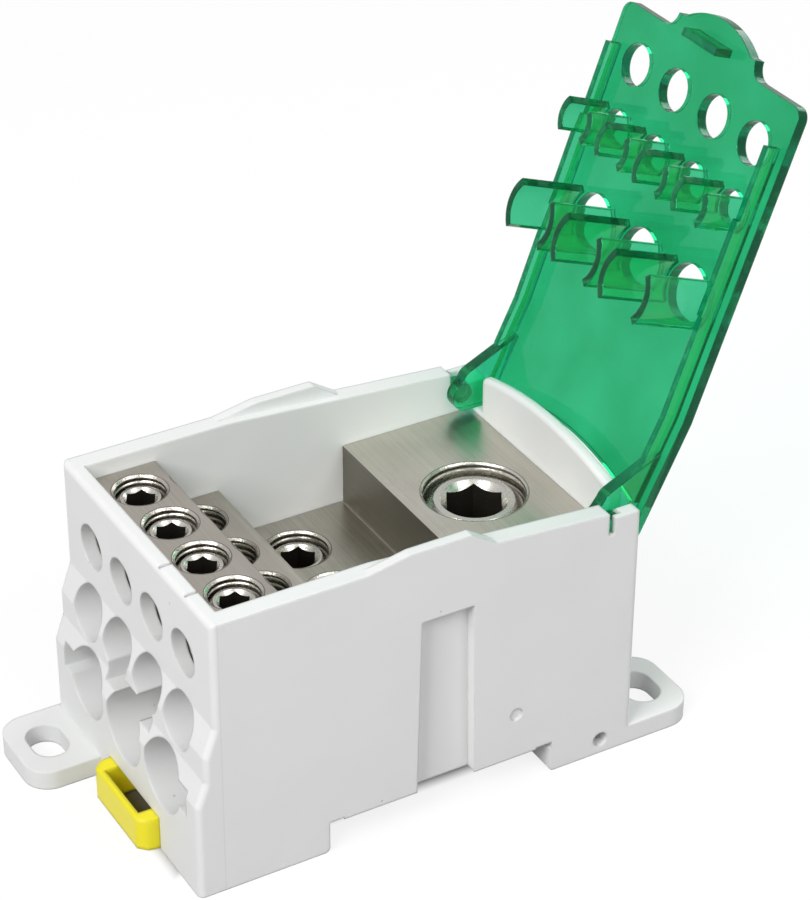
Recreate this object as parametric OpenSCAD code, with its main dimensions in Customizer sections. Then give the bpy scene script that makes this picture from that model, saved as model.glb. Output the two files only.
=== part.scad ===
// Power distribution block for a 35 mm mounting rail or two base screws.
// X runs from the outlet face (-X) to the inlet face (+X), Y across, Z up.
// The origin is the centre of the face that sits on the rail. The lid is drawn open, on its stop.

/* [Housing] */
// Length over the lowest terrace and the inlet wall
body_l = 70.3; // [70.3:0.1:76]
// Width over both side walls
body_w = 46; // [46:0.1:52]
// Height of the ledge that carries the closed lid
ledge_z = 44.7; // [44.7:0.1:48]
// Thickness of the side walls
wall_t = 2.9; // [2.4:0.1:2.9]
// Thickness of the outlet wall above its terraces
outlet_t = 2.2; // [1.6:0.1:2.4]
// Thickness of the arched inlet wall
inlet_t = 1.9; // [1.4:0.1:2.2]
// Floor between the rail slot and the conductor
floor_t = 2.1; // [1.6:0.1:2.4]
// Set-back of the middle terrace of the outlet face
low_step = 1.4; // [0.8:0.1:2]
// Further set-back of the top terrace
high_step = 1.6; // [0.8:0.1:2]
// Height where the lowest terrace ends
low_z = 15.5; // [14:0.1:17]
// Height where the middle terrace ends
mid_z = 23.4; // [22.5:0.1:25]
// Slope height between the lowest and the middle terrace
low_ramp_h = 3.9; // [2:0.1:5]
// Slope height between the middle and the top terrace
high_ramp_h = 4.5; // [2:0.1:5]
// Rounding of the long outer edges
edge_r = 0.9; // [0.4:0.1:1.4]
// Distance from the ledge down to the top of the inlet wall's arch
arch_drop = 0.55; // [0.3:0.05:1]
// Rise of that arch from its ends to its middle
arch_rise = 2.25; // [1:0.05:3]
// Depth of the recess in each side face
recess_t = 1.9; // [0.5:0.1:2]
// Height of the top of that recess
recess_z = 34; // [28:0.5:36]
// Width of that recess at its foot
recess_w = 9.6; // [6:0.1:12]

/* [Mounting] */
// Width of the rail slot
slot_w = 36; // [35.4:0.1:37]
// Height of the rail slot
slot_h = 4.9; // [4.5:0.1:5.5]
// Set-back of the rail slot from the outlet face
slot_x = 20.3; // [18:0.1:21]
// Reach of the fixed hooks and of the clip's jaw under the rail's edge
hook_reach = 1.5; // [1:0.1:2]
// Space that the hooks leave for the rail's edge
rail_gap = 1.3; // [1.1:0.1:1.6]
// Thickness of the fixing ears
ear_t = 3.1; // [2.5:0.1:4]
// Width of the fixing ears
ear_w = 14.4; // [12:0.1:18]
// Reach of the ear beside the outlet face
ear_out = 10.4; // [9:0.1:14]
// Reach of the ear beside the inlet face
ear_in = 11.5; // [9:0.1:14]
// Corner radius of the ears
ear_r = 4; // [2:0.5:5]
// Width of the fixing slots
fix_w = 5.4; // [4:0.1:6]
// End-to-end length of the fixing slots
fix_l = 7.7; // [7:0.1:9]

/* [Cable ways] */
// Distance from the outer small screws to the metal's sides
small_edge = 5.7; // [5.2:0.1:5.9]
// Distance from the outer large screws to the metal's sides
large_edge = 7.9; // [7:0.1:8]
// Entry diameter of the top outlets
top_entry = 6.9; // [5:0.1:7.4]
// Entry diameter of the middle outlets
mid_entry = 8.4; // [7.8:0.1:8.6]
// Entry diameter of the bottom outlets
low_entry = 10.8; // [10.4:0.1:10.9]
// Entry diameter of the inlet
inlet_entry = 17; // [16.6:0.1:18]
// Height of the top outlets
top_z = 35.1; // [34.5:0.1:35.5]
// Height of the middle outlets
middle_z = 24.2; // [23.8:0.1:24.6]
// Height of the bottom outlets
bottom_z = 13.8; // [13.6:0.1:13.9]
// Height of the inlet
inlet_z = 17.5; // [17:0.1:18]

/* [Conductor] */
// Depth of the two upper steps along X
step_l = 9.75; // [9.4:0.05:10]
// Length of the low floor with the large outlet screws
pit_l = 21.6; // [20:0.1:23]
// Top of the upper step
top_step_z = 42.2; // [41.5:0.1:42.2]
// Top of the middle step
mid_step_z = 34; // [33:0.1:35]
// Top of the low floor
pit_z = 25.5; // [25:0.1:26.5]
// Top of the input block
input_top_z = 35.2; // [34:0.1:35.2]
// Bore diameter of the top outlets
top_bore = 6; // [5:0.1:6.6]
// Bore diameter of the middle outlets
mid_bore = 7.3; // [6.5:0.1:7.3]
// Bore diameter of the bottom outlets
low_bore = 10.2; // [9:0.1:10.3]
// Bore diameter of the input
input_bore = 16.4; // [15:0.1:16.6]
// Metal left behind the blind bores of the two upper steps
blind_web = 0.9; // [0.6:0.1:2]
// Metal left under the bores of the middle step
mid_web = 0.8; // [0.6:0.05:0.9]

/* [Screws] */
// Diameter of the eight small clamp screws
small_screw_d = 7.2; // [7:0.1:7.4]
// Diameter of the three large outlet screws
large_screw_d = 9; // [8.6:0.1:9.4]
// Diameter of the input screw
input_screw_d = 14.8; // [14:0.1:16]
// Key width of the small screws
small_hex = 4; // [3:0.5:5]
// Key width of the large outlet screws
large_hex = 5; // [4:0.5:6]
// Key width of the input screw
input_hex = 8; // [6:0.5:10]
// Depth of the top screws below their step
top_sink = 1.2; // [0.9:0.1:2]
// Depth of the middle screws below their step
mid_sink = 4.4; // [3:0.1:5]
// Length of the top screws
top_screw_l = 6; // [5:0.1:7]
// Length of the middle screws
mid_screw_l = 7; // [6:0.1:7.5]
// Length of the large outlet screws
large_screw_l = 10; // [8:0.1:10.5]
// Length of the input screw
input_screw_l = 12; // [10:0.1:13]

/* [Lid] */
// Thickness of the lid's plate
lid_t = 1.6; // [1.2:0.1:2]
// Gap between the plate's edge and the lips on the side walls
lid_side_gap = 0.3; // [0.2:0.1:0.6]
// Radius of the rounded finger tab
tab_r = 13.6; // [12:0.1:15]
// Reach of the tab beyond the straight edge
tab_out = 4.9; // [3:0.1:6]
// Radius of the hollows on both sides of the tab
tab_fillet = 2.4; // [1:0.1:3]
// Bend of the plate towards the hinge, in degrees
bend_deg = 5.8; // [4:0.1:6]
// Diameter of the plain key holes over the top screws
key_hole_d = 6.2; // [5:0.1:7]
// Outer radius of the small guide hoods
small_hood_r = 3.9; // [3.4:0.1:4.2]
// Outer radius of the large guide hoods
large_hood_r = 5.7; // [5:0.1:5.9]
// Wall of the guide hoods
hood_t = 1.15; // [0.8:0.05:1.4]
// Reach of the small hoods below the plate
small_hood_l = 7.2; // [6:0.1:9]
// Reach of the large hoods below the plate
large_hood_l = 11.1; // [8:0.1:14]
// Half of the angle that each hood shell spans
hood_half = 42; // [30:0.5:55]
// Opening angle at rest
open_deg = 110.3; // [90:0.1:110.5]
// Diameter of the hinge pins
pin_d = 3; // [2.4:0.1:3.2]
// Height of the hinge line above the base
pin_z = 38.7; // [38.6:0.1:38.8]
// Distance from the hinge line to the inlet wall's outer face
pin_back = 3.85; // [3.8:0.05:3.9]

/* [Rail clip] */
// Width of the rail clip
clip_w = 15.8; // [14:0.1:18]
// Offset of the clip from the middle of the housing
clip_y = -2.7; // [-3.5:0.1:-2]
// Height of the clip's pull loop
clip_h = 5.4; // [5:0.1:6]
// Reach of the pull loop beyond the outlet face
clip_out = 2.9; // [2:0.1:4]

/* [Clearances] */
// Gap between the conductor and the housing
seat_gap = 0.1; // [0.05:0.05:0.3]
// Radial clearance of screws and hinge pins
run_gap = 0.05; // [0.02:0.01:0.1]
// Gap round the sliding rail clip
slide_gap = 0.15; // [0.1:0.05:0.3]
// Gap between the lid's inner features and what they pass
pass_gap = 0.3; // [0.2:0.05:0.5]
// Gap between the open lid's end and the inlet wall
stop_gap = 0.2; // [0.1:0.05:0.3]

/* [Hidden] */
$fn = 64;
cut = 1;

// Inside the modules, X is counted from the foot of the outlet face and Z from the base.
top_x = low_step + high_step;
inner_x = top_x + outlet_t;
metal_x = inner_x + seat_gap;
mid_x = metal_x + step_l;
pit_x = mid_x + step_l;
input_x = pit_x + pit_l;
back_x = body_l - inlet_t;
metal_end = back_x - seat_gap;
half_w = body_w / 2;
inner_half = half_w - wall_t;
metal_half = inner_half - seat_gap;
metal_z = slot_h + floor_t;
top_screw_x = metal_x + 5.6;
mid_screw_x = mid_x + 4.9;
low_screw_x = pit_x + 9.6;
input_screw_x = metal_end - 11.3;

// Outline of the lid's plate
lid_half = half_w - 1.9;
lid_x0 = top_x + 0.3;
lid_z = ledge_z + seat_gap;
pin_x = body_l - pin_back;
lid_x1 = pin_x + 3;
bend_x = pin_x - 16;

small_pitch = (2 * metal_half - 2 * small_edge) / 3;
large_pitch = metal_half - large_edge;
small_y = [for (i = [-1.5:1:1.5]) i * small_pitch];
large_y = [for (i = [-1:1]) i * large_pitch];

// Undersides of the conductor's two upper steps
top_under_z = top_z - top_bore / 2 - 3.1;
mid_under_z = middle_z - mid_bore / 2 - mid_web;

function arc(cx, cz, r, a0, a1, n) =
    [for (i = [0:n]) [cx + r * cos(a0 + (a1 - a0) * i / n), cz + r * sin(a0 + (a1 - a0) * i / n)]];

module in_frame() translate([-slot_x - slot_w / 2, 0, -slot_h]) children();

// A turn about the lid's hinge line
module about_pin(deg) translate([pin_x, 0, pin_z]) rotate([0, deg, 0])
    translate([-pin_x, 0, -pin_z]) children();

module both_sides() {
    children();
    mirror([0, 1, 0]) children();
}

// An outline in X and Z, extruded from y0 to y1
module along_y(y0, y1) translate([0, y1, 0]) rotate([90, 0, 0]) linear_extrude(y1 - y0) children();

// An outline in Y and Z, extruded from x0 to x1
module along_x(x0, x1) translate([x0, 0, 0]) rotate([90, 0, 90]) linear_extrude(x1 - x0) children();

module x_bore(x0, x1, y, z, d) translate([x0, y, z]) rotate([0, 90, 0]) cylinder(h = x1 - x0, d = d);

module block(x0, x1, y0, y1, z0, z1) translate([x0, y0, z0]) cube([x1 - x0, y1 - y0, z1 - z0]);

// A rounded rectangle of exact arcs
module rounded(w, h, r) {
    translate([r, 0]) square([w - 2 * r, h]);
    translate([0, r]) square([w, h - 2 * r]);
    for (x = [r, w - r], y = [r, h - r]) translate([x, y]) circle(r);
}

// What is cut from a square edge to round it
module edge_cutter(r, l) linear_extrude(l) difference() {
    translate([-cut, -cut]) square(r + cut);
    translate([r, r]) circle(r);
}

// The terraced outlet face from its foot to its top, as points in X and Z
face = [[0, 0], [0, low_z], [low_step, low_z + low_ramp_h], [low_step, mid_z],
        [top_x, mid_z + high_ramp_h], [top_x, ledge_z]];

// Heights of the side wall's top towards the hinge
fall_x = 28;
fall_z = ledge_z - 2.9;
post_z = pin_z + 2.2;
post_r = 0.8;

module side_outline() polygon(concat(
    face,
    [[fall_x, ledge_z], [throat_x, fall_z], [throat_x, post_z]],
    arc(body_l - post_r, post_z - post_r, post_r, 90, 0, 4),
    [[body_l, 0]]));

// The raised lip on the outer part of each side wall
lip_t = half_w - lid_half - lid_side_gap;
lip_h = 1.2;
lip_x = [fall_x - 1.5, fall_x + 5, fall_x + 14.5, fall_x + 18.8];
module lip_outline() polygon([
    [lip_x[0], ledge_z - 1], [lip_x[0], ledge_z], [lip_x[1], ledge_z + lip_h],
    [lip_x[2], ledge_z + lip_h], [lip_x[3], ledge_z - 1.6], [lip_x[3], ledge_z - 3]]);

module outer_shell() difference() {
    union() {
        along_y(-half_w, half_w) side_outline();
        both_sides() along_y(half_w - lip_t, half_w) lip_outline();
    }
    // Rounded upright edges, which follow the terraces
    both_sides() for (i = [0:len(face) - 2]) {
        rise = face[i + 1] - face[i];
        translate([face[i].x, -half_w, face[i].y]) rotate([0, atan2(rise.x, rise.y), 0])
            translate([0, 0, -0.2]) edge_cutter(edge_r, norm(rise) + 0.4);
    }
    both_sides() translate([body_l, -half_w, -cut]) rotate([0, 0, 90]) edge_cutter(edge_r, ledge_z + 4);
    translate([top_x, -half_w - cut, ledge_z]) rotate([-90, 0, 0]) edge_cutter(edge_r, body_w + 2 * cut);
}

// The inlet wall, arched along its top with a rounded rim
arch_half = inner_half - 3.5;
arch_z = ledge_z - arch_drop;
arch_r = (arch_half * arch_half + arch_rise * arch_rise) / (2 * arch_rise);
rim_r = 0.7;
module inlet_arch() intersection() {
    translate([back_x, 0, arch_z - arch_r]) rotate([0, 90, 0]) rotate_extrude($fn = 256) {
        square([arch_r - rim_r, inlet_t]);
        translate([0, rim_r]) square([arch_r, inlet_t - 2 * rim_r]);
        for (x = [rim_r, inlet_t - rim_r]) translate([arch_r - rim_r, x]) circle(rim_r);
    }
    block(back_x, body_l, -arch_half, arch_half, metal_z, ledge_z);
}

module cavity() {
    block(inner_x, back_x, -inner_half, inner_half, top_under_z - seat_gap, ledge_z + 5);
    block(mid_x - seat_gap, back_x, -inner_half, inner_half, mid_under_z - seat_gap, ledge_z + 5);
    block(pit_x - seat_gap, back_x, -inner_half, inner_half, metal_z, ledge_z + 5);
}

// Blind sockets for the lid's pins. Each opens upwards through a snap throat, and its outer
// skin is split by a narrow slit. The post beyond it is chamfered to lead the pin in.
throat_x = pin_x - pin_d / 2 - run_gap;
throat_w = 0.8 * pin_d;
slit_w = 0.95;
skin_t = 0.9;
lead_in = 0.8;
module hinge_socket() {
    depth = half_w - skin_t;
    translate([pin_x, depth, pin_z]) rotate([90, 0, 0])
        cylinder(h = depth - inner_half + cut, d = pin_d + 2 * run_gap);
    block(throat_x, throat_x + throat_w, inner_half - cut, depth, pin_z, ledge_z);
    block(throat_x, throat_x + slit_w, inner_half - cut, half_w + cut, pin_z - pin_d / 6, ledge_z);
    along_x(throat_x, body_l + cut) polygon([
        [inner_half - cut, post_z + cut], [inner_half - cut, post_z - lead_in - cut],
        [inner_half + lead_in + cut, post_z + cut]]);
}

module cable_ways() {
    for (y = small_y) {
        x_bore(-cut, inner_x + cut, y, top_z, top_entry);
        x_bore(-cut, mid_x, y, middle_z, mid_entry);
    }
    for (y = large_y) x_bore(-cut, pit_x, y, bottom_z, low_entry);
    x_bore(back_x - cut, body_l + cut, 0, inlet_z, inlet_entry);
    // Keys beside the outer bottom outlets
    key_z = bottom_z - 1.6;
    key_y = large_y[2] + low_entry / 2 - 1.5;
    both_sides() block(-cut, pit_x - 3, key_y, inner_half - 0.4, key_z, key_z + 4.2);
    // Core pocket that runs between the middle and the bottom outlets
    pocket_half = 0.73 * small_pitch;
    block(-cut, mid_x - 2, -pocket_half, pocket_half, bottom_z + 3.8, bottom_z + 7);
}

module side_recess() both_sides() along_y(half_w - recess_t, half_w + cut) {
    mid = slot_x + slot_w / 2 + 0.7;
    polygon([[mid - recess_w / 2, -cut], [mid - recess_w / 2 + 0.7, recess_z],
             [mid + recess_w / 2 - 0.7, recess_z], [mid + recess_w / 2, -cut]]);
}

// Rail slot with a relief in each upper corner, so that the rail sits on the face between them
slot_end = slot_x + slot_w;
relief_w = 2.3;
relief_t = 0.3;
module rail_slot() {
    block(slot_x, slot_end, -half_w - cut, half_w + cut, -cut, slot_h);
    block(slot_x, slot_x + relief_w, -half_w - cut, half_w + cut, slot_h - cut, slot_h + relief_t);
    block(slot_end - relief_w, slot_end, -half_w - cut, half_w + cut, slot_h - cut, slot_h + relief_t);
    block(slot_end - cut, slot_end + 0.4, -half_w - cut, half_w + cut, slot_h - 0.7, slot_h + relief_t);
    translate([slot_x, -half_w - cut, 0]) rotate([-90, 180, 0]) edge_cutter(edge_r, body_w + 2 * cut);
    translate([slot_end, -half_w - cut, 0]) rotate([-90, -90, 0]) edge_cutter(edge_r, body_w + 2 * cut);
}

// Three fixed hooks that grip the rail's edge
hook_z = slot_h - rail_gap;
hook_pitch = 0.28 * body_w;
module fixed_hooks() for (i = [-1:1], y = i * hook_pitch) along_y(y - 3, y + 3) polygon([
    [slot_end + 0.4, hook_z], [slot_end - hook_reach, hook_z], [slot_end - hook_reach, hook_z - 1],
    [slot_end, hook_z - 2.6], [slot_end + 0.4, hook_z - 2.6]]);

// Guide way of the rail clip: a tall mouth, then a T-shaped way that holds the clip up
head_l = 4.2;
rail_z = [1.7, hook_z];
web_half = 5;
module clip_way() translate([0, clip_y, 0]) {
    half = clip_w / 2 + slide_gap;
    block(-cut, head_l + slide_gap, -half, half, -cut, clip_h + slide_gap);
    block(0, slot_x + cut, -half, half, rail_z[0] - slide_gap, rail_z[1] + slide_gap);
    block(0, slot_x + cut, -web_half - slide_gap, web_half + slide_gap, -cut, rail_z[1]);
}

// Core pockets under the two feet
foot_core_z = 4.6;
module foot_cores() {
    rib = 1.6;
    core_half = (body_w - 2 * wall_t - 4 * rib) / 6;
    clip_top = clip_y + clip_w / 2 + slide_gap + rib;
    clip_low = clip_y - clip_w / 2 - slide_gap - rib;
    block(rib + low_step, slot_x - rib, clip_top, half_w - wall_t, -cut, foot_core_z);
    block(rib + low_step, slot_x - rib, wall_t - half_w, clip_low, -cut, foot_core_z);
    for (i = [-1:1], y = i * (2 * core_half + rib))
        block(slot_end + rib, body_l - inlet_t, y - core_half, y + core_half, -cut, foot_core_z);
}

module fixing_slot(x, y) translate([x, y, -cut]) linear_extrude(ear_t + 2 * cut) {
    translate([-fix_w / 2, -(fix_l - fix_w) / 2]) square([fix_w, fix_l - fix_w]);
    for (s = [-1, 1]) translate([0, s * (fix_l - fix_w) / 2]) circle(d = fix_w);
}

// Places of the two fixing slots, on opposite corners
fix_edge = 5.3;
fix_y = half_w - ear_w / 2;
ear_root = 2 * ear_r;

module housing() color("whitesmoke") in_frame() difference() {
    union() {
        difference() {
            union() {
                outer_shell();
                inlet_arch();
                translate([-ear_out, half_w - ear_w, 0]) linear_extrude(ear_t)
                    rounded(ear_out + ear_root, ear_w, ear_r);
                translate([body_l - ear_root, -half_w, 0]) linear_extrude(ear_t)
                    rounded(ear_in + ear_root, ear_w, ear_r);
            }
            cavity();
            rail_slot();
            clip_way();
            foot_cores();
        }
        fixed_hooks();
    }
    cable_ways();
    side_recess();
    both_sides() hinge_socket();
    // Notches that the lid's arms swing through
    both_sides() block(back_x - cut, body_l + cut, arch_half, inner_half,
                       pin_z - boss_r - pass_gap, ledge_z + 5);
    fixing_slot(fix_edge - ear_out, fix_y);
    fixing_slot(body_l + ear_in - fix_edge, -fix_y);
    // Slits beside the springy part of the outlet wall, where the lid's catch snaps
    for (i = [-1.56, -0.76], y = i * small_pitch)
        block(top_x + 0.4, inner_x + cut, y - 0.25, y + 0.25, top_z + 4, ledge_z + cut);
    // Gate mark and cross hole in the near side face
    translate([50.5, -half_w + 0.3, 12.5]) rotate([90, 0, 0]) cylinder(h = cut, d = 2);
    translate([body_l - 5.2, -half_w + 5, 2.45]) rotate([90, 0, 0]) cylinder(h = 5 + cut, d = 2.4);
}

// Clamp screws stand in tapped holes, which reach down past each screw's lowest place.
mouth = 0.35;
module tap(x, y, top, low, d) {
    hole_d = d + 2 * run_gap;
    translate([x, y, low]) cylinder(h = top - low + cut, d = hole_d);
    translate([x, y, top - mouth]) cylinder(h = 2 * mouth, d1 = hole_d, d2 = hole_d + 4 * mouth);
}

top_low = top_z - top_bore / 2 + 0.4;
mid_low = middle_z - mid_bore / 2 + 0.6;
large_low = bottom_z - low_bore / 2 + 1;
input_low = inlet_z - input_bore / 2 + 2;

module conductor_block() color("silver") in_frame() difference() {
    union() {
        block(metal_x, mid_x + cut, -metal_half, metal_half, top_under_z, top_step_z);
        block(mid_x, pit_x + cut, -metal_half, metal_half, mid_under_z, mid_step_z);
        block(pit_x, input_x + cut, -metal_half, metal_half, metal_z, pit_z);
        block(input_x, metal_end, -metal_half, metal_half, metal_z, input_top_z);
    }
    for (y = small_y) {
        x_bore(metal_x - cut, mid_x - blind_web, y, top_z, top_bore);
        x_bore(mid_x - cut, pit_x - blind_web, y, middle_z, mid_bore);
        tap(top_screw_x, y, top_step_z, top_low, small_screw_d);
        tap(mid_screw_x, y, mid_step_z, mid_low, small_screw_d);
    }
    for (y = large_y) {
        x_bore(pit_x - cut, low_screw_x + 7.5, y, bottom_z, low_bore);
        tap(low_screw_x, y, pit_z, large_low, large_screw_d);
    }
    x_bore(input_screw_x - 9, metal_end + cut, 0, inlet_z, input_bore);
    tap(input_screw_x, 0, input_top_z, input_low, input_screw_d);
}

// A socket set screw with a chamfered rim and a flat point; z is its top
module set_screw(x, y, z, l, d, hex) in_frame() translate([x, y, z - l]) difference() {
    rotate_extrude() polygon([[0, 0], [0.4 * d, 0], [d / 2, 0.08 * d], [d / 2, l - 0.09 * d],
                              [0.4 * d, l], [0, l]]);
    translate([0, 0, l - hex * 0.8]) cylinder(h = hex, d = hex / cos(30), $fn = 6);
    translate([0, 0, l - hex * 0.12]) cylinder(h = hex, d1 = hex, d2 = hex * 3.2);
}

module top_screw(i) color("gainsboro")
    set_screw(top_screw_x, small_y[i], top_step_z - top_sink, top_screw_l, small_screw_d, small_hex);
module middle_screw(i) color("gainsboro")
    set_screw(mid_screw_x, small_y[i], mid_step_z - mid_sink, mid_screw_l, small_screw_d, small_hex);
module large_screw(i) color("gainsboro")
    set_screw(low_screw_x, large_y[i], pit_z - 1.2, large_screw_l, large_screw_d, large_hex);
module input_screw() color("gainsboro")
    set_screw(input_screw_x, 0, input_top_z - 1.3, input_screw_l, input_screw_d, input_hex);

// The lid is built closed and then swung open about its pins.
arm_in = inner_half - 0.2;
arm_t = 2;
boss_r = 2.3;
hood_x = mid_screw_x + 0.4;
function under_z(x) = lid_z - max(0, x - bend_x) * tan(bend_deg);

// Outline of the finger tab, with a hollow at its foot
module tab() {
    tab_x = lid_x0 - tab_out + tab_r;
    hollow_x = lid_x0 - tab_fillet;
    hollow_y = sqrt(pow(tab_r + tab_fillet, 2) - pow(tab_x - hollow_x, 2));
    intersection() {
        translate([tab_x, 0]) circle(tab_r);
        translate([-tab_out, -lid_half]) square([lid_x0 + tab_out + 2, 2 * lid_half]);
    }
    for (side = [-1, 1]) difference() {
        polygon([[hollow_x, side * hollow_y], [lid_x0 + cut, side * hollow_y],
                 [lid_x0 + cut, 0], [hollow_x, 0]]);
        translate([hollow_x, side * hollow_y]) circle(tab_fillet);
        translate([hollow_x - cut, -lid_half]) square([cut, 2 * lid_half]);
    }
}

// Distance behind the hinge line where the plate clears the arch as the lid swings
sweep_r = norm([pin_back - rim_r, arch_z - rim_r - pin_z]) + rim_r + 0.2;
fall = tan(bend_deg);
rise = under_z(pin_x) - pin_z;
reach = (sqrt((1 + fall * fall) * sweep_r * sweep_r - rise * rise) - rise * fall) / (1 + fall * fall);

module plate_outline() difference() {
    union() {
        translate([lid_x0, -lid_half]) rounded(lid_x1 - lid_x0, 2 * lid_half, 1.8);
        tab();
    }
    // Cut-out along the arched inlet wall
    intersection() {
        translate([pin_x - reach + arch_r, 0]) circle(arch_r, $fn = 256);
        translate([pin_x - reach - 1, -arch_half - pass_gap]) square([20, 2 * (arch_half + pass_gap)]);
    }
    for (y = small_y) {
        translate([top_screw_x, y]) circle(d = key_hole_d);
        translate([hood_x, y]) circle(d = 2 * (small_hood_r - hood_t) - 0.6);
    }
    for (y = large_y) translate([low_screw_x, y]) circle(d = 2 * (large_hood_r - hood_t) - 0.8);
}

// The plate, bent towards the hinge. Its end lies along the inlet wall when the lid is open,
// which is the lid's stop.
module bent_plate() difference() {
    end_z = under_z(lid_x1);
    intersection() {
        translate([0, 0, pin_z]) linear_extrude(lid_z + lid_t) plate_outline();
        along_y(-half_w, half_w) polygon(concat(
            [[-tab_out, lid_z + lid_t], [-tab_out, lid_z], [bend_x, lid_z], [lid_x1, end_z]],
            arc(lid_x1 - post_r, end_z + lid_t - post_r, post_r, 0, 90 - bend_deg, 4),
            [[bend_x, lid_z + lid_t]]));
    }
    about_pin(-open_deg) block(pin_x, body_l + stop_gap, -half_w, half_w, pin_z - 10, pin_z);
}

// Two facing shells that guide the key to a deep screw
module hood(x, y, r, l) translate([x, y, lid_z - l]) linear_extrude(l + 0.2) intersection() {
    difference() {
        circle(r);
        circle(r - hood_t);
    }
    reach = 2 * r;
    spread = reach * tan(hood_half);
    union() {
        polygon([[0, 0], [spread, reach], [-spread, reach]]);
        polygon([[0, 0], [-spread, -reach], [spread, -reach]]);
    }
}

// An arm inside each side wall, with a pin that snaps outwards into its socket
module hinge_arm() {
    knee = [pin_x - 2.7, pin_z + 0.5];
    knee_r = 2;
    strut_x = pin_x - 10.9;
    end_x = pin_x + 0.8;
    along_y(arm_in - arm_t, arm_in) {
        translate([pin_x, pin_z]) circle(boss_r);
        translate(knee) circle(knee_r);
        polygon([[strut_x, under_z(strut_x) + 0.2], knee + knee_r * [cos(226), sin(226)],
                 knee - [0, knee_r], [pin_x, pin_z - boss_r],
                 [pin_x + boss_r * cos(15), pin_z + boss_r * sin(15)], [end_x, under_z(end_x) + 0.2]]);
    }
    pin_end = half_w - skin_t - 0.2;
    translate([pin_x, pin_end, pin_z]) rotate([90, 0, 0]) cylinder(h = pin_end - arm_in + 0.5, d = pin_d);
}

// Stiffening skirts along the plate, stepped like the metal below them
module skirt() {
    y1 = inner_half - 0.35;
    skirt_t = 1;
    end_x = pin_x - 8.4;
    block(top_screw_x - 1.4, mid_screw_x + 0.6, y1 - skirt_t, y1, ledge_z - 2.1, lid_z + 0.2);
    block(mid_screw_x + 0.4, low_screw_x + 0.5, y1 - skirt_t, y1, ledge_z - 2.6, lid_z + 0.2);
    along_y(y1 - skirt_t, y1) polygon([
        [low_screw_x + 0.4, lid_z + 0.2], [low_screw_x + 0.4, lid_z - 2.4], [bend_x, lid_z - 2.4],
        [end_x, under_z(end_x) - 2.4], [end_x, under_z(end_x) + 0.2], [bend_x, lid_z + 0.2]]);
}

module lid_closed() {
    bent_plate();
    for (y = small_y) hood(hood_x, y, small_hood_r, small_hood_l);
    for (y = large_y) hood(low_screw_x, y, large_hood_r, large_hood_l);
    both_sides() hinge_arm();
    both_sides() skirt();
    // Catch bar that snaps over the outlet wall
    block(top_x - 1.55, top_x - 0.35, -4, 4, lid_z - 2.8, lid_z + 0.2);
}

module lid() color("seagreen", 0.6) in_frame() about_pin(open_deg) lid_closed();

// Moulded slide with a pull loop in front and a jaw that grips the rail's other edge
module rail_clip() color("gold") in_frame() translate([0, clip_y, 0]) difference() {
    half = clip_w / 2;
    loop_half = half - 2.5;
    spring_t = 1.1;
    spring_gap = 1.2;
    union() {
        translate([0, 0, 0.2]) linear_extrude(clip_h - 0.2) polygon([
            [-clip_out, -half + 1.4], [1.2 - clip_out, -half + 0.2], [-0.8, -half], [head_l, -half],
            [head_l, half], [-0.8, half], [1.2 - clip_out, half - 0.2], [-clip_out, half - 1.4]]);
        block(head_l - 0.1, slot_x - 1.2, -half, half, rail_z[0], rail_z[1]);
        block(head_l - 0.1, slot_x - 1.2, -web_half, web_half, 0.2, rail_z[1]);
        along_y(-web_half, web_half) polygon([
            [slot_x - 1.3, 0.2], [slot_x + 0.2, 0.2], [slot_x + hook_reach, hook_z - 1.1],
            [slot_x + hook_reach, hook_z - 0.1], [slot_x - 1.3, hook_z - 0.1]]);
    }
    // Pull opening
    block(0.95 - clip_out, head_l - 1.5, -loop_half, loop_half, -cut, clip_h + cut);
    // Slots that free the two springing side rails
    both_sides() block(head_l + 2, slot_x - 3, half - spring_t - spring_gap, half - spring_t, -cut, clip_h);
}

housing();
lid();
conductor_block();
rail_clip();
top_screw(0);  // top_screw_1
top_screw(1);  // top_screw_2
top_screw(2);  // top_screw_3
top_screw(3);  // top_screw_4
middle_screw(0);  // middle_screw_1
middle_screw(1);  // middle_screw_2
middle_screw(2);  // middle_screw_3
middle_screw(3);  // middle_screw_4
large_screw(0);  // large_screw_1
large_screw(1);  // large_screw_2
large_screw(2);  // large_screw_3
input_screw();
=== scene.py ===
import math

import bpy
from mathutils import Matrix, Vector


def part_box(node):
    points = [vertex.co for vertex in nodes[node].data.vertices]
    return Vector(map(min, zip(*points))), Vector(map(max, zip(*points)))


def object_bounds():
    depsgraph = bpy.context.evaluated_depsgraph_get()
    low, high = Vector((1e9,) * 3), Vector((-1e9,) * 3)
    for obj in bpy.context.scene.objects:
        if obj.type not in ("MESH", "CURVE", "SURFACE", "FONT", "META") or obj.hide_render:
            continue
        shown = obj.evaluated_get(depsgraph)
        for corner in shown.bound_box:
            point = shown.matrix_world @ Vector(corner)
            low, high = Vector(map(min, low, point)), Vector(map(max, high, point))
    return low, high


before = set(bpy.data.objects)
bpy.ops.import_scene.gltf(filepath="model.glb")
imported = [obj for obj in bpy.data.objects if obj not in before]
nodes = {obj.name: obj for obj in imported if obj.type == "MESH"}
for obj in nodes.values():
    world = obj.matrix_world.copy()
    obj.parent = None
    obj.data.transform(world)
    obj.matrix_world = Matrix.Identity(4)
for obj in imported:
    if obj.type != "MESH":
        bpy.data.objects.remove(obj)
cad_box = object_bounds()
bpy.ops.object.select_all(action="DESELECT")

# Housing: one moulding of light grey, glass-filled nylon, spark-eroded to a fine satin. Its edges
# come from the tool with a small radius, and a faint parting line runs down each side.


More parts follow.
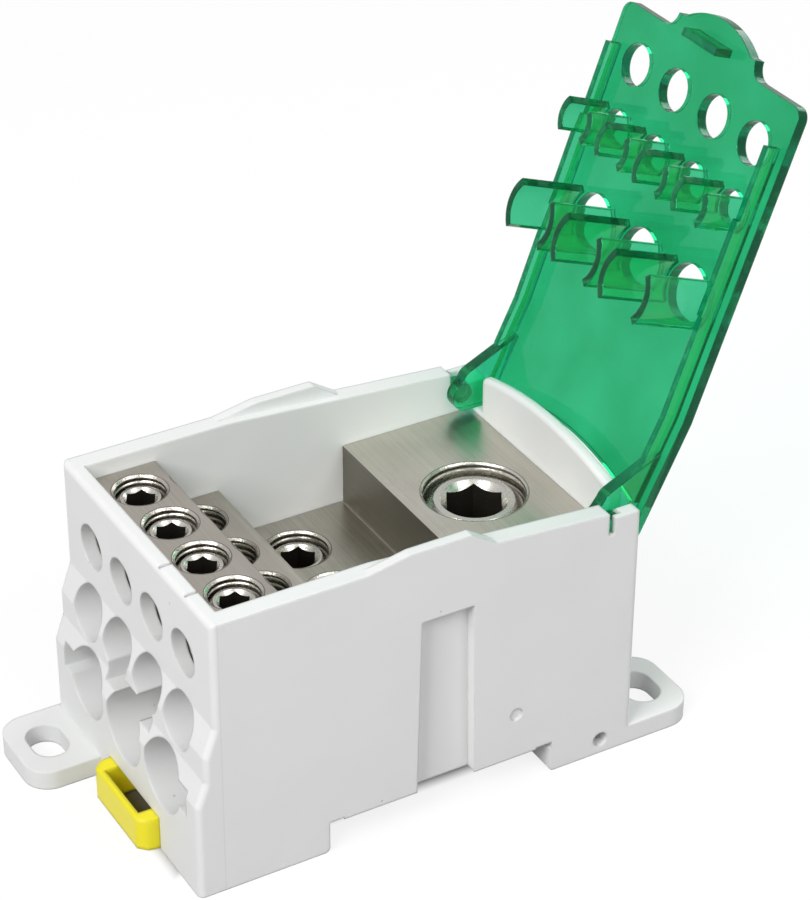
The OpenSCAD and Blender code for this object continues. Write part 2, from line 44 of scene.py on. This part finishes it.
class Wire:
    """A socket in a material's node tree. Sums and products of wires add their Math nodes."""

    def __init__(self, tree, socket=None):
        self.tree, self.socket = tree, socket

    def node(self, kind, inputs=(), output=0, **settings):
        """A new node, fed by wires and plain values, as the wire from one of its outputs."""
        made = self.tree.nodes.new("ShaderNode" + kind)
        for name, value in settings.items():
            setattr(made, name, value)
        for name, value in dict(inputs).items():
            if isinstance(value, Wire):
                self.tree.links.new(value.socket, made.inputs[name])
            else:
                made.inputs[name].default_value = value
        return Wire(self.tree, made.outputs[output])

    def math(self, operation, *others, **settings):
        return self.node("Math", dict(enumerate((self, *others))), operation=operation, **settings)

    def __add__(self, other):
        return self.math("ADD", other)

    def __sub__(self, other):
        return self.math("SUBTRACT", other)

    def __rsub__(self, other):
        return self.math("MULTIPLY_ADD", -1.0, other)

    def __mul__(self, other):
        return self.math("MULTIPLY", other)

    def __pow__(self, other):
        return self.math("POWER", other)

    def __lt__(self, other):
        return self.math("LESS_THAN", other)

    def __gt__(self, other):
        return self.math("GREATER_THAN", other)

    def __abs__(self):
        return self.math("ABSOLUTE")

    __radd__, __rmul__ = __add__, __mul__

    def blend(self, first, second):
        """Two colours, mixed by this wire."""
        return self.node("Mix", {0: self, 6: first, 7: second}, output=2, data_type="RGBA")

    def stretch(self, gain):
        """This noise with its contrast raised about the middle, kept between 0 and 1."""
        return ((self - 0.5) * gain).math("ADD", 0.5, use_clamp=True)

    def axes(self):
        return [self.node("SeparateXYZ", {"Vector": self}, output=axis) for axis in "XYZ"]


def new_finish(name):
    """An empty material, and the wire that its first nodes hang on."""
    material = bpy.data.materials.new(name)
    material.use_nodes = True
    material.node_tree.nodes.clear()
    return material, Wire(material.node_tree)


def close_finish(material, surface, volume=None):
    out = material.node_tree.nodes.new("ShaderNodeOutputMaterial")
    material.node_tree.links.new(surface.socket, out.inputs["Surface"])
    if volume:
        material.node_tree.links.new(volume.socket, out.inputs["Volume"])


def wear(part, material):
    part.data.materials.clear()
    part.data.materials.append(material)


parting_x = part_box("housing")[0].x + 0.0144
parting_half = 0.0001
side_y = 0.0225  # just inside the two side faces
material, wire = new_finish("housing_nylon")
place = wire.node("TexCoord", output="Object")
grain = wire.node("TexNoise", {"Vector": place, "Scale": 5200.0, "Detail": 3.0, "Roughness": 0.6})
cloud = wire.node("TexNoise", {"Vector": place, "Scale": 60.0, "Detail": 3.0})
speck = wire.node("TexVoronoi", {"Vector": place, "Scale": 260.0})
rare = wire.node("TexNoise", {"Vector": place, "Scale": 310.0, "Detail": 0.0})
dirt = (speck < 0.05) * (rare > 0.62)
x, y, z = place.axes()
line = (abs(x - parting_x) < parting_half) * (abs(y) > side_y)
tone = cloud.blend((0.715, 0.725, 0.718, 1), (0.765, 0.772, 0.762, 1))
tone = (line * 0.35).blend(tone, (0.60, 0.61, 0.60, 1))
tone = (dirt * 0.5).blend(tone, (0.30, 0.29, 0.27, 1))
edge = wire.node("Bevel", {"Radius": 0.0005}, samples=6)
sink = wire.node("Bump", {
    "Strength": 0.25, "Distance": 0.0008, "Height": cloud + line * 0.04, "Normal": edge})
skin = wire.node("Bump", {
    "Strength": 0.3, "Distance": 0.00006, "Height": grain, "Normal": sink})
body = wire.node("BsdfPrincipled", {
    "Base Color": tone, "Roughness": 0.40 + 0.12 * cloud, "IOR": 1.5, "Normal": skin})
close_finish(material, body)
wear(nodes["housing"], material)

# Conductor block: one stepped block of tin-plated brass, milled across and left with fine cutter
# lines, its upright ends rougher than its tops and painted darker as shade. The holes tapped into
# it have mouths painted lighter as a highlight, with painted shade in their thread roots and along
# their rims.
screws = sorted(name for name in nodes if "screw" in name)
pitches = {"top": 0.001, "middle": 0.001, "large": 0.0012, "input": 0.0016}


def thread(x, y, z, name):
    """The height of a screw's thread about its axis, from -1 in the roots to 1 on the crests."""
    turn = 2 * math.pi / pitches[name.split("_")[0]]
    return (y.math("ARCTAN2", x) + z * turn).math("SINE")


def root_shade(ridge):
    """Painted shade: where a thread is deep enough to be painted dark."""
    return (ridge * -2.2).math("SUBTRACT", 0.9, use_clamp=True)


pit_start_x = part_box("conductor_block")[0].x + 0.0195  # past the two steps
pit_end_x = pit_start_x + 0.0216
pit_floor_z = 0.0206
foot_x = pit_end_x - 0.0002  # a painted highlight along the milled corner at the foot of the input block
foot_half_w, foot_half_h = 0.00014, 0.0003
chamfer, ring = 0.00042, 0.00055  # how far a hole's mouth, painted lighter as a highlight, and the painted shade along its rim reach
material, wire = new_finish("conductor_tin")
place = wire.node("TexCoord", output="Object")
x, y, z = place.axes()
wide = wire.node("Mapping", {"Vector": place, "Scale": (2600.0, 30.0, 2600.0)})
fine = wire.node("Mapping", {"Vector": place, "Scale": (8000.0, 110.0, 8000.0)})
brush = wire.node("TexNoise", {"Vector": wide, "Scale": 1.0, "Detail": 4.0, "Roughness": 0.65})
hair = wire.node("TexNoise", {"Vector": fine, "Scale": 1.0, "Detail": 2.0})
cloud = wire.node("TexNoise", {"Vector": place, "Scale": 120.0, "Detail": 4.0})
grit = wire.node("TexVoronoi", {"Vector": place, "Scale": 900.0})
mouths, rim_shades, ridge = 0.0, 0.0, 0.0
for name in screws:
    low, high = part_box(name)
    middle, radius = (low + high) / 2, (high.x - low.x) / 2
    across, along = x - middle.x, y - middle.y
    around = (across * across + along * along) ** 0.5
    mouth = around < radius + chamfer
    mouths = mouths + mouth
    rim_shades = rim_shades + (around < radius + ring) - mouth
    ridge = ridge + (around < radius * 1.02) * thread(across, along, z, name)
shaded_ends = abs(wire.node("TexCoord", output="Normal").axes()[0]) > 0.8
shaded_ends = shaded_ends * (1 - mouths)
foot_highlight = (abs(x - foot_x) < foot_half_w) * (abs(z - pit_floor_z) < foot_half_h)
tone = (0.62 * brush + 0.38 * cloud).stretch(2.2).blend(
    (0.36, 0.335, 0.285, 1), (0.56, 0.54, 0.485, 1))
tone = ((x > pit_end_x) * 0.35).blend(tone, (0.72, 0.69, 0.61, 1))
tone = ((x < pit_start_x) * 0.5).blend(tone, (0.44, 0.395, 0.36, 1))
# painted shade: the upright ends are painted darker than the tops
tone = (shaded_ends * 0.75).blend(tone, (0.17, 0.155, 0.125, 1))
# painted highlight: the mouths of the tapped holes are painted lighter
tone = (mouths * 0.6).blend(tone, (0.60, 0.575, 0.525, 1))
# painted shade in the thread roots and along the rim of each mouth
tone = (root_shade(ridge) * 0.85 + rim_shades * 0.75).math("MINIMUM", 0.9).blend(
    tone, (0.06, 0.055, 0.045, 1))
# painted highlight along the foot of the input block, with a scatter of bright specks
tone = (foot_highlight * 0.6 + (grit < 0.045) * (cloud > 0.6) * 0.5).blend(tone, (0.85, 0.83, 0.78, 1))
edge = wire.node("Bevel", {"Radius": 0.00025}, samples=4)
lines = wire.node("Bump", {
    "Strength": 0.5, "Distance": 0.00003, "Height": brush + 0.6 * hair, "Normal": edge})
chatter = wire.node("TexNoise", {
    "Vector": place, "Scale": 1300.0, "Detail": 3.0, "Roughness": 0.7})
skin = wire.node("Bump", {
    "Strength": 1.0, "Distance": 0.00013, "Height": ridge + chatter * mouths * 0.9,
    "Normal": lines})
dull = (0.18 + 0.18 * hair + 0.08 * cloud) * (1 - 0.25 * mouths) + 0.12 * shaded_ends
body = wire.node("BsdfPrincipled", {
    "Base Color": tone, "Metallic": 1.0, "Roughness": dull, "Normal": skin})
close_finish(material, body)
wear(nodes["conductor_block"], material)

# Clamp screws: nickel-plated steel socket set screws. The rim is turned bright, the thread
# shows as fine rings with painted shade in their roots, and the broached hexagon is painted dark
# as shade.
key_widths = {"top": 0.004, "middle": 0.004, "large": 0.005, "input": 0.008}
for name in screws:
    low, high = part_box(name)
    middle = (low + high) / 2
    radius = (high.x - low.x) / 2
    key = key_widths[name.split("_")[0]] / 2
    material, wire = new_finish(name + "_nickel")
    place = wire.node("TexCoord", output="Object")
    x, y, z = wire.node("VectorMath", {0: place, 1: (middle.x, middle.y, high.z)},
                        operation="SUBTRACT").axes()
    around = (x * x + y * y) ** 0.5
    radial = wire.node("CombineXYZ", {"X": around * 7000.0, "Y": z * 7000.0})
    turning = wire.node("TexNoise", {"Vector": radial, "Scale": 1.0, "Detail": 2.0})
    cloud = wire.node("TexNoise", {"Vector": place, "Scale": 900.0, "Detail": 3.0})
    cone = (around - key) * 0.9 - key * 0.26  # leads the key into the socket below it
    corners = key * 1.19  # just past the corners of the hexagon
    socket = (around < corners) * (z < cone)
    ridge = thread(x, y, z, name) * (around > radius * 0.96)
    # painted shade in the thread roots, with dark turning marks
    root_shade_and_marks = root_shade(ridge) * 0.8 + (turning > 0.62) * 0.35
    metal = root_shade_and_marks.math("MINIMUM", 0.8).blend((0.60, 0.58, 0.54, 1), (0.14, 0.13, 0.11, 1))
    # painted shade: the hexagon socket is painted near black
    metal = socket.blend(metal, (0.055, 0.048, 0.04, 1))
    skin = wire.node("Bump", {
        "Strength": 0.8, "Distance": 0.0002, "Height": ridge + turning * 0.2 + cloud * 0.15})
    body = wire.node("BsdfPrincipled", {
        "Base Color": metal, "Metallic": 1.0,
        "Roughness": 0.20 + 0.14 * cloud + 0.3 * socket, "Normal": skin})
    close_finish(material, body)
    wear(nodes[name], material)

# Lid: one moulding of clear green polycarbonate, polished on both sides. The dye is in the
# plastic, so its thin hoods and skirts are light; its edges, seen lengthwise, and its lips are
# painted dark as shade, broken by painted bright flecks.
lean = math.radians(110.3)  # how far the lid is open at rest, about the pins at pin_x and pin_z
pin_x, pin_z = 0.02815, 0.0338
plate_rise = 0.0061  # from the pins to the underside of the plate, with the lid closed
bend_drop = 0.00205  # just past what the plate's bend brings its underside down


def through_plate(x, z):
    """The part of a direction that is square to the leaning plate."""
    return x * math.sin(lean) + z * math.cos(lean)


def along_plate(x, z):
    """The part of a direction that runs from the finger tab to the pins."""
    return x * math.cos(lean) - z * math.sin(lean)


material, wire = new_finish("lid_polycarbonate")
place = wire.node("TexCoord", output="Object")
flow = wire.node("TexNoise", {"Vector": place, "Scale": 70.0, "Detail": 3.0})
painted_flecks = wire.node("TexNoise", {"Vector": place, "Scale": 420.0, "Detail": 2.0})
x, y, z = place.axes()
below = plate_rise - through_plate(x - pin_x, z - pin_z)
facing_x, facing_y, facing_z = wire.node("TexCoord", output="Normal").axes()
flat = abs(through_plate(facing_x, facing_z))
cut = abs(along_plate(facing_x, facing_z)) > 0.7
lips = (below > bend_drop) * (flat > 0.9).math("MAXIMUM", cut)
sides = (below < 0.0001) * (flat < 0.35)
# painted shade on the lid's lips and edges, broken by painted bright highlight flecks
edge_shade = lips.math("MAXIMUM", sides) * (1 - (painted_flecks > 0.56) * 0.55)
thin = (below > 0.0002) * (abs(facing_y) > 0.4)
tone = flow.stretch(2.4).blend((0.09, 0.62, 0.25, 1), (0.19, 0.84, 0.40, 1))
tone = thin.blend(tone, (0.30, 0.90, 0.50, 1))
tone = (edge_shade * 0.8).blend(tone, (0.006, 0.18, 0.12, 1))
edge = wire.node("Bevel", {"Radius": 0.0003}, samples=4)
skin = wire.node("Bump", {
    "Strength": 0.1, "Distance": 0.0006, "Height": flow, "Normal": edge})
clear = wire.node("BsdfPrincipled", {
    "Base Color": tone, "Roughness": 0.02, "IOR": 1.56, "Specular IOR Level": 0.3,
    "Specular Tint": (0.15, 0.90, 0.60, 1), "Transmission Weight": 0.94, "Normal": skin})
shade = wire.node("BsdfTransparent", {"Color": (1, 1, 1, 1)})
path = wire.node("LightPath", output="Is Shadow Ray")
body = wire.node("MixShader", {0: path, 1: clear, 2: shade})
dye = wire.node("VolumeAbsorption", {"Color": (0.0, 0.90, 0.85, 1), "Density": 1000.0})
close_finish(material, body, dye)
wear(nodes["lid"], material)

# Rail clip: a small slide of bright yellow nylon, moulded in one piece with its pull loop and
# left with a fine satin skin and rounded edges.
material, wire = new_finish("clip_nylon")
place = wire.node("TexCoord", output="Object")
grain = wire.node("TexNoise", {"Vector": place, "Scale": 4200.0, "Detail": 3.0})
cloud = wire.node("TexNoise", {"Vector": place, "Scale": 150.0, "Detail": 2.0})
edge = wire.node("Bevel", {"Radius": 0.0009}, samples=6)
skin = wire.node("Bump", {
    "Strength": 0.3, "Distance": 0.00005, "Height": grain, "Normal": edge})
body = wire.node("BsdfPrincipled", {
    "Base Color": cloud.blend((0.84, 0.73, 0.010, 1), (0.88, 0.79, 0.014, 1)),
    "Roughness": 0.30 + 0.1 * grain, "Normal": skin})
close_finish(material, body)
wear(nodes["rail_clip"], material)

# Studio: a seamless pale floor under three soft lamps. The background is plain white to the
# camera, and dimmer where the lid or the metal shows it.


def plain_rays(wire):
    """How much of the white background a ray shows: a straight one all, the others some."""
    seen, mirrored, through = [wire.node("LightPath", output="Is %s Ray" % kind)
                               for kind in ("Camera", "Glossy", "Transmission")]
    return seen.math("MAXIMUM", through * 0.37).math(
        "MAXIMUM", mirrored * (1 - through) * 0.65)


floor_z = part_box("housing")[0].z
bpy.ops.mesh.primitive_circle_add(
    vertices=96, radius=3.0, fill_type="NGON", location=(0, 0, floor_z))
floor = bpy.context.object
floor.name = "studio_floor"
material, wire = new_finish("floor_paper")
paper = wire.node("BsdfDiffuse", {"Color": (0.38, 0.38, 0.38, 1)})
glow = wire.node("Emission", {"Color": (1, 1, 1, 1), "Strength": 1.0})
# The glow ends where the block stands, and there the paper is painted dark as a shadow, so that
# what shows beneath and through it is in shade
block_x, half_l, half_w = -0.0031, 0.0345, 0.0155
x, y, z = wire.node("TexCoord", output="Object").axes()
away = (abs(x - block_x) - half_l).math("MAXIMUM", abs(y) - half_w)
clear_of_shadow = away.math("MULTIPLY", 400.0, use_clamp=True)
# painted shadow: the paper under the block is painted dark
white = wire.node("BsdfDiffuse", {
    "Color": clear_of_shadow.blend((0.16, 0.15, 0.14, 1), (0.95, 0.95, 0.95, 1))})
both = wire.node("MixShader", {0: clear_of_shadow * 0.82, 1: white, 2: glow})
body = wire.node("MixShader", {0: plain_rays(wire), 1: paper, 2: both})
close_finish(material, body)
wear(floor, material)

world = bpy.data.worlds.new("studio_world")
bpy.context.scene.world = world
world.use_nodes = True
world.node_tree.nodes.clear()
wire = Wire(world.node_tree)
upward = wire.node("TexCoord", output="Generated").axes()[2]
room = 0.16 + 0.42 * upward.math("MAXIMUM", 0.0)
plain = plain_rays(wire)
sky = wire.node("Background", {"Color": (1, 1, 1, 1), "Strength": room + (1 - room) * plain})
out = world.node_tree.nodes.new("ShaderNodeOutputWorld")
world.node_tree.links.new(sky.socket, out.inputs["Surface"])

middle = (cad_box[0] + cad_box[1]) / 2
for name, place, size, watts in [  # metres and watts
    ("key_softbox", (-0.62, -0.28, 0.58), 0.45, 6.2),
    ("fill_softbox", (0.20, -0.62, 0.62), 0.5, 2.7),
    ("back_softbox", (0.85, 0.30, 0.45), 0.5, 2.0),
]:
    bpy.ops.object.light_add(type="AREA", location=place)
    lamp = bpy.context.object
    lamp.name = name
    lamp.data.size = size
    lamp.data.energy = watts
    lamp.rotation_euler = (middle - Vector(place)).to_track_quat("-Z", "Y").to_euler()

# The camera stands where the photograph's did, solved from the edges of the housing
bpy.ops.object.camera_add()
camera = bpy.context.object
bpy.context.scene.camera = camera
camera.data.lens = 119.41
camera.data.sensor_width = 36
camera.data.clip_start, camera.data.clip_end = 0.01, 20
eye = (-0.17104, -0.30573, 0.26625)
right, up, back = [(0.86553, -0.50084, 0.00465), (0.26561, 0.46684, 0.84351),
                   (-0.42463, -0.72885, 0.53709)]
camera.matrix_world = (Matrix.Translation(eye)
                       @ Matrix((right, up, back)).transposed().to_4x4())

bpy.context.scene.view_settings.view_transform = "Standard"
